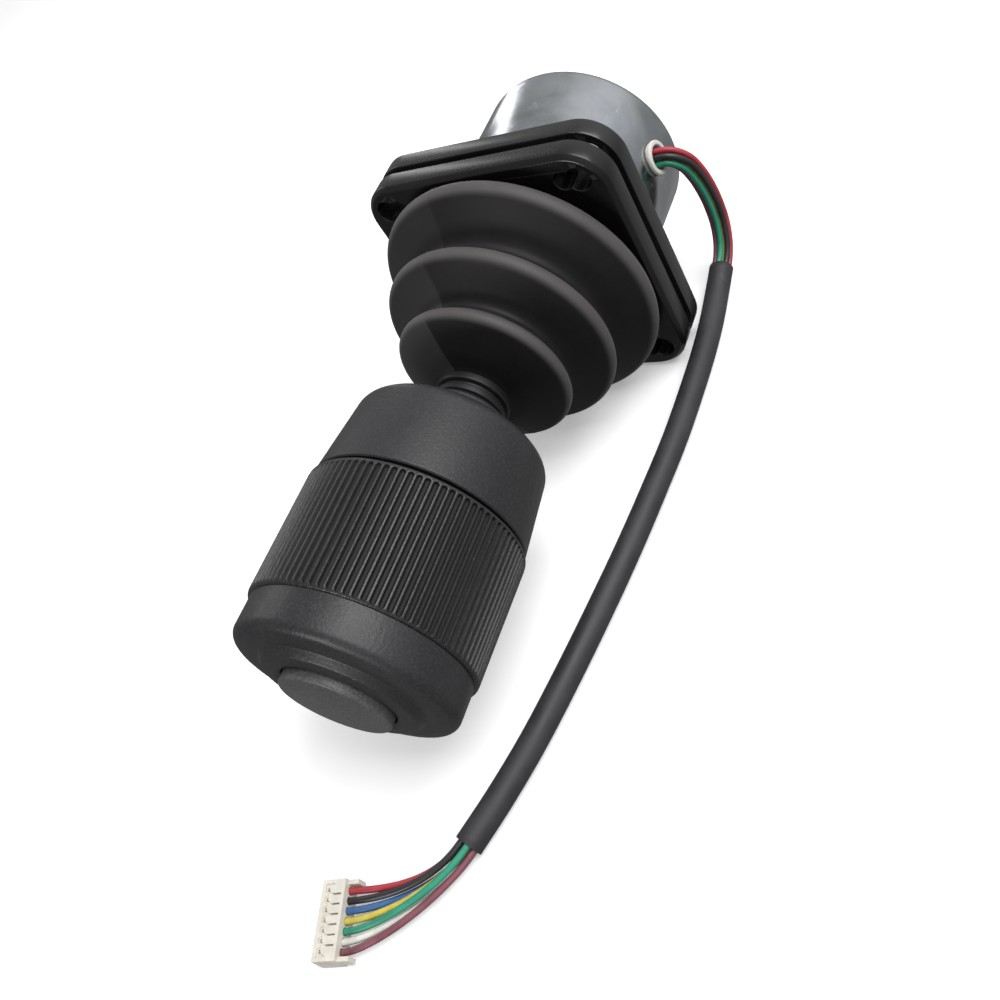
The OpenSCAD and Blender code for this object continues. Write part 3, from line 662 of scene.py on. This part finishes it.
wires, wire_paths = [], []
for i, c in enumerate(COLOURS):
    path = wire_path(i)
    w = tube("wire_" + c + "_run", path, WIRE_D / 2, "wire_" + c, sides=14, end_round=0.08)
    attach(w, "housing")
    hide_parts("wire_" + c)
    wires.append(w)
    wire_paths.append(path)

# ---------------------------------------------------------------- plug


def plug_point(x, y, z):
    """Plug frame: x into the plug, y along its row from red to brown, z up from the bench."""
    q = PLUG_AT + x * IN + y * ROW
    return np.array([q[0], z - 25.0, q[2]])


def prism(name, outline, z0, z1, key="plug"):
    n = len(outline)
    v = [plug_point(x, y, z0) for x, y in outline] + [plug_point(x, y, z1) for x, y in outline]
    f = [list(range(n)), list(range(2 * n - 1, n - 1, -1))] + [[i, (i + 1) % n, n + (i + 1) % n, n + i] for i in range(n)]
    return mesh_object(name, v, f, key, smooth=False)


def box_prism(name, x0, x1, y0, y1, z0, z1):
    return prism(name, [(x0, y0), (x1, y0), (x1, y1), (x0, y1)], z0, z1)


def build_plug():
    base = box_prism("plug", 0, 4.2, -6, 6, 0, 3.5)
    near, far = [], []
    for i in range(-3, 4):
        c = 1.5 * i
        near += [(2.0, c - 0.63), (2.35, c - 0.52), (2.68, c - 0.22), (2.75, c), (2.68, c + 0.22), (2.35, c + 0.52), (2.0, c + 0.63)]
    for i in range(2, -4, -1):
        c = 1.5 * (i + 0.5)
        far += [(3.5, c + 0.45), (2.95, c + 0.05), (2.95, c - 0.05), (3.5, c - 0.45)]
    boolean(base, prism("t", [(1.95, -5.4)] + near + [(1.95, 5.4), (3.5, 5.4)] + far + [(3.5, -5.4)], 3.2, 5))
    for s in (-1, 1):
        y0, y1 = sorted((s * 5.25, s * 5.95))
        boolean(base, box_prism("t", -1.9, 0.3, y0, y1, 0.7, 2.7), "UNION")
    for i in range(-3, 4):
        c = 1.5 * i
        ring = [(math.cos(t) * 0.66, math.sin(t) * 0.66) for t in np.linspace(0, 2 * math.pi, 25)[:-1]]
        v = [plug_point(-1, c + a, 1.75 + b) for a, b in ring] + [plug_point(1.8, c + a, 1.75 + b) for a, b in ring]
        n = len(ring)
        f = [list(range(n)), list(range(2 * n - 1, n - 1, -1))] + [[k, (k + 1) % n, n + (k + 1) % n, n + k] for k in range(n)]
        boolean(base, mesh_object("t", v, f, "plug", smooth=False))
        boolean(base, box_prism("t", 1.55, 6, c - 0.5, c + 0.5, 1.25, 2.25))
        boolean(base, box_prism("t", 2.82, 3.3, c - 0.28, c + 0.28, 1.75, 5))
    for i in range(-3, 3):
        c = 1.5 * (i + 0.5)
        boolean(base, box_prism("t", 0.55, 2.15, c - 0.15, c + 0.15, 2.7, 5))
    base.data.polygons.foreach_set("use_smooth", [False] * len(base.data.polygons))
    bev = base.modifiers.new("bevel", "BEVEL")
    bev.width, bev.segments, bev.limit_method, bev.angle_limit = 0.00006, 2, "ANGLE", math.radians(40)
    return base


plug = build_plug()
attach(plug, "housing")
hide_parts("plug_housing")

# ---------------------------------------------------------------- flange
HW = 25.0


def rounded_square(half, r, k=16):
    pts = []
    for cx, cy, a0 in ((1, 1, 0), (-1, 1, 90), (-1, -1, 180), (1, -1, 270)):
        for j in range(k + 1):
            a = math.radians(a0 + 90 * j / k)
            pts.append((cx * (half - r) + r * math.cos(a), cy * (half - r) + r * math.sin(a)))
    return pts


def slab(name, rings, key):
    """A closed body from outlines at rising heights: [(half width, corner radius, h), ...]."""
    loops = [rounded_square(hw, r) for hw, r, _ in rings]
    n = len(loops[0])
    v = [(x, y, h) for loop, (_, _, h) in zip(loops, rings) for x, y in loop]
    f = [list(range(n)), [(len(loops) - 1) * n + j for j in range(n)][::-1]]
    for i in range(len(loops) - 1):
        for j in range(n):
            f.append([i * n + j, i * n + (j + 1) % n, (i + 1) * n + (j + 1) % n, (i + 1) * n + j])
    return mesh_object(name, v, f, key, sharp=25)


def hole_cutter(x, y, r, h0, h1, flare=0.25, n=64):
    """A cutter for a through hole whose mouths are slightly flared."""
    prof = [(0, h0 - 1), (r + flare, h0 - 1), (r + flare, h0 - 0.0), (r, h0 + flare), (r, h1 - flare), (r + flare, h1 + 0.0),
            (r + flare, h1 + 1), (0, h1 + 1)]
    v, f = lathe_data(prof, n=n)
    v = [(a + x, b + y, c) for a, b, c in v]
    return mesh_object("t", v, f, "inner")


def turned(name, prof, n=160):
    return lathe(name, prof, "inner", n=n)


def build_bezel():
    g1, f1 = 5.3, 9.6
    b = slab("bezel_front", [
        (HW - 0.22, 7.28, g1), (HW - 0.06, 7.44, g1 + 0.06), (HW, 7.5, g1 + 0.22),
        (HW, 7.5, f1 - 0.92), (HW - 0.05, 7.45, f1 - 0.78), (HW - 0.16, 7.34, f1 - 0.64),
        (HW - 0.66, 6.84, f1 - 0.14), (HW - 0.80, 6.70, f1 - 0.04), (HW - 0.98, 6.52, f1)], "bezel")
    boolean(b, turned("t", [(0, g1 - 1), (24.2, g1 - 1), (24.2, g1 + 1.6), (22.7, g1 + 1.6), (22.7, f1 - 0.35),
                            (23.05, f1 + 0.001), (23.05, f1 + 1), (0, f1 + 1)]), sharp=30)
    for i in (-1, 1):
        for j in (-1, 1):
            c = hole_cutter(20 * i, 20 * j, 2.25, g1, f1, 0.1)
            c = boolean(c, hole_cutter(17.3 * i, 20.2 * j, 1.75, g1, f1, 0.1), "UNION")
            boolean(b, c, sharp=30)
    for x, y in ((14, 22), (22, -14), (-14, -22), (-22, 14)):
        v, f = lathe_data([(0, g1 - 1), (0.95, g1 - 1), (0.95, g1 + 2.6), (0, g1 + 2.8)], n=24)
        boolean(b, mesh_object("t", [(a + x, c + y, d) for a, c, d in v], f, "inner"), sharp=30)
    return b


def build_plate():
    g0 = 3.65
    b = slab("plate_rear", [
        (HW - 0.5, 7.0, 0), (HW - 0.2, 7.3, 0.06), (HW - 0.05, 7.45, 0.2), (HW, 7.5, 0.5),
        (HW, 7.5, g0 - 0.3), (HW - 0.08, 7.42, g0 - 0.08), (HW - 0.3, 7.2, g0)], "plate")
    boolean(b, turned("t", [(0, -1), (20.5, -1), (20.5, 0.6), (0, 0.6)]))
    boolean(b, turned("t", [(17.0, -10), (18.7, -10), (18.75, -9.9), (18.75, 0.9), (17.0, 0.9)]), "UNION")
    boolean(b, turned("t", [(0, -1), (17, -1), (17, 0.4), (0, 0.4)]))
    boolean(b, turned("t", [(0, -2), (14.2, -2), (14.2, g0 - 0.3), (14.5, g0 + 0.001), (14.5, g0 + 1), (0, g0 + 1)]))
    for i in (-1, 1):
        for j in (-1, 1):
            boolean(b, hole_cutter(20 * i, 20 * j, 2.25, 0, g0, 0.2), sharp=30)
    for x, y in ((14, 22), (22, -14), (-14, -22), (-22, 14)):
        v, f = lathe_data([(0, -1), (2.0, -1), (2.0, 0), (1.05, 1), (1.05, 5), (0, 5)], n=32)
        boolean(b, mesh_object("t", [(a + x, c + y, d) for a, c, d in v], f, "inner"), sharp=30)
    for a in (45, 135, 225, 315):
        x, y = 15.4 * math.cos(math.radians(a)), 15.4 * math.sin(math.radians(a))
        v, f = lathe_data([(0, -1), (1.05, -1), (1.05, 2.2), (1.9, 2.2), (1.9, 5), (0, 5)], n=32)
        boolean(b, mesh_object("t", [(q + x, c + y, d) for q, c, d in v], f, "inner"), sharp=30)
    return b


bezel = build_bezel()
plate = build_plate()
for o, node, s in ((bezel, "bezel", "black_bezel"), (plate, "mounting_plate", "black_plate")):
    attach(o, "housing")
    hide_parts(node)

# ---------------------------------------------------------------- can and grommet
can = lathe("can", fillet([(0, -25.4), (20.0, -25.4, 1.9), (20.0, 0.58, 0.15), (18.8, 0.58, 0.15), (18.8, -24.2, 0.8), (0, -24.2)]),
            "can", n=256, sharp=40)
CA = math.radians(9)


def radial_lathe(name, profile, key, n=96):
    """Profile [r, distance from the axis] turned round the cable hole's radial axis."""
    v, f = lathe_data(profile, n=n)
    out = []
    for a, b, c in v:
        out.append((c * math.cos(CA) - a * math.sin(CA), c * math.sin(CA) + a * math.cos(CA), b - 15.9))
    return mesh_object(name, out, f, key)


boolean(can, radial_lathe("t", [(0, 12), (3.0, 12), (3.0, 24), (0, 24)], "can"), sharp=35)
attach(can, "housing")
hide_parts("steel_can")
grommet = radial_lathe("grommet", fillet([(2.25, 18.4, 0.2), (2.96, 18.4, 0.2), (2.96, 20.2, 0.05), (3.2, 20.2, 0.1), (3.2, 20.85, 0.3), (2.25, 20.9, 0.3)]), "grommet")
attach(grommet, "housing")
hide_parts("wire_grommet")

# ---------------------------------------------------------------- boot


def arc(r, h, rr, a0, a1, k=16):
    return [(r - rr + rr * math.cos(math.radians(t)), h + rr * math.sin(math.radians(t))) for t in np.linspace(a0, a1, k)]


F1 = 9.6
boot_line = (
    [(22.45, 6.9), (22.45, F1 - 0.3), (22.85, F1 + 0.4)]
    + arc(26.2, F1 + 4.2, 1.9, -60, 62)
    + [(19.6, F1 + 9.2), (18.7, F1 + 10.2), (18.6, F1 + 11.2)]
    + arc(21.5, F1 + 14.6, 1.7, -62, 64)
    + [(15.2, F1 + 18.2), (14.0, F1 + 19.2), (13.9, F1 + 20)]
    + arc(16.1, F1 + 22.9, 1.5, -62, 62)
    + [(9.4, F1 + 26.2), (6.3, F1 + 26.9), (5.45, F1 + 27.6), (5.4, F1 + 29), (5.4, F1 + 33)]
)
line3 = spline([(r, h, 0) for r, h in boot_line], 0.35)[:, :2]
SEAM_H = 20.2
seam = int(np.argmin(np.abs(line3[:, 1] - SEAM_H) + 1000 * (np.abs(line3[:, 1] - SEAM_H) > 2)))
nrm = np.gradient(line3, axis=0)
nrm = np.stack([nrm[:, 1], -nrm[:, 0]], 1) / np.linalg.norm(nrm, axis=1)[:, None]
inner3 = line3 - 1.15 * nrm
inner3[:, 0] = np.clip(inner3[:, 0], 4.05, 23.9)
inner3[:, 1] = np.maximum.accumulate(inner3[:, 1])
# crest mask for the boot's painted highlight: 1 at each crest top, falling off around it
crest_highlight_value = np.zeros(len(line3))
for cr, ch, w in ((26.2, F1 + 4.2, 2.0), (21.5, F1 + 14.6, 1.8), (16.1, F1 + 22.9, 1.6)):
    dist = np.hypot(line3[:, 0] - (cr - 0.5), line3[:, 1] - ch)
    crest_highlight_value = np.maximum(crest_highlight_value, np.clip(1.3 - dist / w, 0, 1))
PART_LINE = [math.radians(a) for a in (101, 281)]
base_angles = list(np.arange(288) * 2 * math.pi / 288)
for pl in PART_LINE:
    base_angles += [pl + math.radians(d) for d in (-0.9, -0.55, -0.3, 0.0, 0.3, 0.55, 0.9)]
boot_angles = np.array(sorted(set(round(a % (2 * math.pi), 6) for a in base_angles)))


def boot_shape(r, h, a):
    if r > 5.2 and h > F1 + 0.6:
        d = min(abs((a - pl + math.pi) % (2 * math.pi) - math.pi) for pl in PART_LINE) * r
        r += 0.07 * math.exp(-(d / 0.12) ** 2)
    return r, h


def boot_piece(name, lo, hi, foot):
    outer = [tuple(q) for q in line3[lo:hi + 1]]
    inside = [tuple(q) for q in inner3[lo:hi + 1][::-1]]
    if foot:
        prof = [(21.35, 5.32), (24.0, 5.32), (24.05, 5.5), (24.05, 6.7), (23.95, 6.86)] + outer + inside
    else:
        prof = outer + inside
    v, f = lathe_data(prof, angles=boot_angles, shape=boot_shape)
    v = np.array(v)
    low = v[:, 1] < -24.6
    v[low, 1] = -24.6 - 0.36 * np.tanh((-24.6 - v[low, 1]) / 0.6)
    o = mesh_object(name, v, f, "boot", sharp=60)
    h = v[:, 2]
    r = np.hypot(v[:, 0], v[:, 1])
    d = np.hypot(r[:, None] - line3[None, :, 0], h[:, None] - line3[None, :, 1])
    add_point_values(o, "crest_highlight", crest_highlight_value[d.argmin(1)])
    ang = np.arctan2(v[:, 1], v[:, 0])
    # mask of the mould half that the boot material paints lighter, standing in for its reflection
    side_of = np.sin(ang - PART_LINE[0]) * r
    add_point_values(o, "half", np.clip(side_of / 0.2, 0, 1) * np.clip(0.25 + 0.75 * np.clip((h - 24) / 8, 0, 1), 0, 1))
    add_rest(o)
    return o


boot_low = boot_piece("boot_lower", 0, seam, True)
boot_up = boot_piece("boot_upper", seam, len(line3) - 1, False)
for o in (boot_low, boot_up):
    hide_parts("boot")
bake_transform(boot_low)
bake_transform(boot_up)

# ---------------------------------------------------------------- collar and knob
collar = lathe("collar", fillet([(5.42, 37.3, 0.1), (6.75, 37.3, 0.3), (6.8, 38.75, 0.3), (6.0, 39.0, 0.1), (6.0, 39.4, 0.1),
                                 (6.5, 39.65, 0.25), (6.5, 40.7, 0.25), (5.9, 41.0, 0.1), (5.9, 41.5, 0.1), (6.1, 41.8, 0.15), (6.1, 43.5, 0.2), (5.42, 43.5, 0.1)]), "inner", n=128)
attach(collar, "lever")
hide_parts("boot_collar")

base = lathe("knob_lower", fillet([
    (4.02, 43.75, 0.1), (6.65, 43.75, 0.05), (6.65, 41.7, 0.1), (7.2, 41.7, 0.15), (8.4, 42.7, 0.3), (8.45, 43.65, 0.2), (16.9, 48.5, 2.6), (18.4, 63.6, 0.35), (18.15, 63.85, 0.1), (16.7, 63.85, 0.2), (15.9, 51.0, 1.0), (9.0, 46.8, 0.6),
    (7.0, 47.0, 0.5), (7.0, 56.2, 0.2), (4.02, 56.2, 0.2)]), "knob", n=224, sharp=30)
mark_groove_shade(base)
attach(base, "lever")
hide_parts("knob_base")

RIBS = 90


def build_grip():
    per = 16
    n = RIBS * per
    angles = np.arange(n) * 2 * math.pi / n

    half = 0.325           # groove half width, in rib pitches
    depth = 0.58
    h_end, h_round = 85.55, 0.5

    def groove(a, h):
        """Groove depth at an angle and height: flat floor, steep rounded walls, ball-shaped end."""
        t = abs((a * RIBS / (2 * math.pi)) % 1.0 - 0.5)
        x = t / half
        if h > h_end:
            x = math.hypot(x, (h - h_end) / h_round)
        if h < 65.5:
            x = math.hypot(x, (65.5 - h) / 0.42)
        if x >= 1:
            return 0.0
        return depth * (1 - x ** 4) ** 0.6

    def land(r, h):
        """The ribs' tops fall away in a rounded nose towards the end cap."""
        if h <= 85.6:
            return r
        u = (h - 85.6) / 0.8
        return 18.9 - 0.5 * (1 - math.sqrt(max(0.0, 1 - u * u)))

    def shape(r, h, a):
        if r > 18.0 and h > 65.02:
            t = abs((a * RIBS / (2 * math.pi)) % 1.0 - 0.5)
            crown = 0.05 * ((t - half) / (0.5 - half) - 1) ** 2 if t > half else 0.05
            return min(land(r, h), 18.9) - crown - groove(a, h) * (1 if h < 86.2 else 0.6), h
        return r, h

    outer = [(18.3, 64.5), (18.55, 64.54), (18.76, 64.66), (18.84, 64.8), (18.85, 65.0)]
    outer += [(18.9, h) for h in (65.08, 65.14, 65.2, 65.28, 65.36, 65.44, 65.52, 65.6, 70, 75, 80, 84, 85.3, 85.55, 85.65, 85.75, 85.85, 85.95, 86.05, 86.15, 86.3, 86.4)]
    inner_side = [(17.0, 86.4), (17.0, 67.2), (9.2, 67.2), (9.2, 76.0), (7.05, 76.0), (7.05, 60.5), (9.2, 60.5), (9.2, 65.0), (17.0, 65.0), (17.0, 64.5)]
    o = lathe("grip", outer + inner_side, "grip", angles=angles, shape=shape, sharp=32)
    slot_v, slot_f = [], []
    arcs = np.radians(np.linspace(234, 306, 25))
    for h in (63, 69):
        for r in (11.2, 13.8):
            for a in arcs:
                slot_v.append((r * math.cos(a), r * math.sin(a), h))
    k = len(arcs)
    ring = [list(range(0, k)), list(range(k, 2 * k)), list(range(2 * k, 3 * k)), list(range(3 * k, 4 * k))]
    for i in range(k - 1):
        slot_f += [[ring[0][i], ring[0][i + 1], ring[1][i + 1], ring[1][i]], [ring[2][i], ring[2][i + 1], ring[3][i + 1], ring[3][i]],
                   [ring[0][i], ring[0][i + 1], ring[2][i + 1], ring[2][i]], [ring[1][i], ring[1][i + 1], ring[3][i + 1], ring[3][i]]]
    for i in (0, k - 1):
        slot_f.append([ring[0][i], ring[1][i], ring[3][i], ring[2][i]])
    o = boolean(o, mesh_object("t", slot_v, slot_f, "knob", smooth=False), sharp=40)
    mark_groove_shade(o, groove)
    return o


grip = build_grip()
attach(grip, "grip")
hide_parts("grip_ring")

cap = lathe("cap", fillet([
    (15.6, 83.5, 0.2), (16.95, 83.5, 0.2), (16.95, 86.42, 0.02), (18.3, 86.42, 0.06), (18.32, 92.9, 1.7),
    (15.4, 93.5, 0.6), (13.6, 93.55, 0.5), (12.5, 94.75, 0.7), (10.2, 95.0, 0.8), (9.35, 94.75, 0.25), (9.3, 91.4, 0.1), (15.6, 91.4, 0.3)]), "knob", n=224, sharp=30)
mark_groove_shade(cap)
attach(cap, "grip")
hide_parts("end_cap")

button = lathe("button", fillet([
    (0, 87.22), (2.5, 87.22, 0.2), (2.5, 94.0, 0.2), (7.4, 94.0, 0.2), (7.4, 90.0, 0.15), (10.8, 90.0, 0.15), (10.8, 91.1, 0.15),
    (9.1, 91.2, 0.1), (9.1, 96.35, 0.45), (6.0, 96.6, 4.0), (0, 96.7)]), "button", n=192, sharp=30)
mark_groove_shade(button)
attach(button, "button")
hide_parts("push_button")

# ---------------------------------------------------------------- floor and light
floor_mesh = bpy.data.meshes.new("floor")
S = 4.0
floor_mesh.from_pydata([(-S, -S, -0.02502), (S, -S, -0.02502), (S, S, -0.02502), (-S, S, -0.02502)], [], [(0, 1, 2, 3)])
floor = bpy.data.objects.new("floor", floor_mesh)
scene.collection.objects.link(floor)
fm = Nodes("floor_mat")
fc = fm.mix(fm.ramp(fm.noise(3, 3), 0.3, 0.7), (0.86, 0.86, 0.86), (0.89, 0.89, 0.89))
fm.set(Base_Color=fc, Roughness=0.9, Emission_Color=fc)
fm.b.inputs["Specular IOR Level"].default_value = 0.1
fm.b.inputs["Emission Strength"].default_value = 0.30
floor.data.materials.append(fm.m)
floor.visible_diffuse = False
floor.visible_glossy = False


def area(name, power, size, loc, target=(0, -0.04, 0), color=(1, 1, 1), size_y=None):
    l = bpy.data.lights.new(name, "AREA")
    l.energy, l.size, l.color = power, size, color
    if size_y:
        l.shape, l.size_y = "RECTANGLE", size_y
    o = bpy.data.objects.new(name, l)
    scene.collection.objects.link(o)
    o.location = loc
    o.rotation_euler = (Vector(target) - Vector(loc)).to_track_quat("-Z", "Y").to_euler()
    return o


area("top", 3.3, 0.42, (0.30, 0.05, 0.52))
area("streak", 0.16, 0.04, (-0.352, 0.40, 0.153), target=(0, 0.012, 0.01), size_y=0.4)
area("front_fill", 2.3, 0.28, (-0.14, -0.74, 0.07), target=(0, -0.09, 0))
area("left_rim", 0.28, 0.20, (-0.50, 0.10, 0.30), target=(0, -0.03, 0))
world = bpy.data.worlds.new("world")
scene.world = world
world.use_nodes = True
wt = world.node_tree
bg = wt.nodes["Background"]
gen = wt.nodes.new("ShaderNodeTexCoord")
sep = wt.nodes.new("ShaderNodeSeparateXYZ")
wt.links.new(gen.outputs["Generated"], sep.inputs[0])


def wline(x, lo, hi, a, b):
    n = wt.nodes.new("ShaderNodeMapRange")
    n.interpolation_type = "SMOOTHSTEP"
    wt.links.new(x, n.inputs["Value"])
    for k, v in (("From Min", lo), ("From Max", hi), ("To Min", a), ("To Max", b)):
        n.inputs[k].default_value = v
    return n.outputs["Result"]


up = wline(sep.outputs["Z"], -0.3, 0.6, 0.32, 0.80)
back = wline(sep.outputs["Y"], -0.7, 0.4, 0.70, 1.0)
side = wline(sep.outputs["X"], -0.7, 0.6, 0.60, 1.3)
for other in (back, side):
    mul = wt.nodes.new("ShaderNodeMath")
    mul.operation = "MULTIPLY"
    wt.links.new(up, mul.inputs[0])
    wt.links.new(other, mul.inputs[1])
    up = mul.outputs[0]
wt.links.new(up, bg.inputs[1])
bg.inputs[0].default_value = (0.995, 0.99, 1.0, 1)
scene.view_settings.view_transform = "Standard"
scene.view_settings.look = "None"
scene.view_settings.exposure = 0.0
